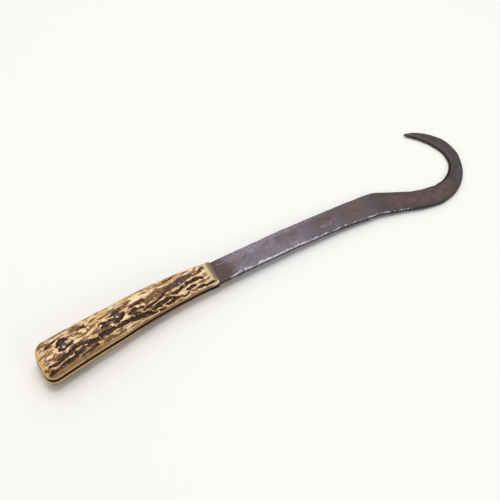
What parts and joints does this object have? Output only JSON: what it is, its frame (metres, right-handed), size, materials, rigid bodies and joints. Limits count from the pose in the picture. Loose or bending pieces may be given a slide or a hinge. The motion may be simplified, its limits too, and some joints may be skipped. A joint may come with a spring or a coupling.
{
  "type": "pruning hook",
  "caption": "Old hand pruning hook: a flat forged steel stem cranked into a curved hook with a ground inner edge, gripped between two pinned stag antler scales.",
  "frame": {"origin": "centre of the whole tool's bounding box in plan, at the height of its lowest point, which is the crown of the back scale", "axes": "+X from the handle to the hook along the flat stem, +Y to the side that the hook opens to, +Z out of the front face of the steel"},
  "size_m": [0.313, 0.0608, 0.0216],
  "materials": {
    "forged_steel": "satin",
    "stag_antler": "satin",
    "pin_iron": "satin"
  },
  "bodies": {
    "root": {"blade": "forged_steel", "front_scale": "stag_antler", "back_scale": "stag_antler", "rear_pin": "pin_iron", "middle_pin": "pin_iron", "front_pin": "pin_iron"}
  },
  "joints": []
}
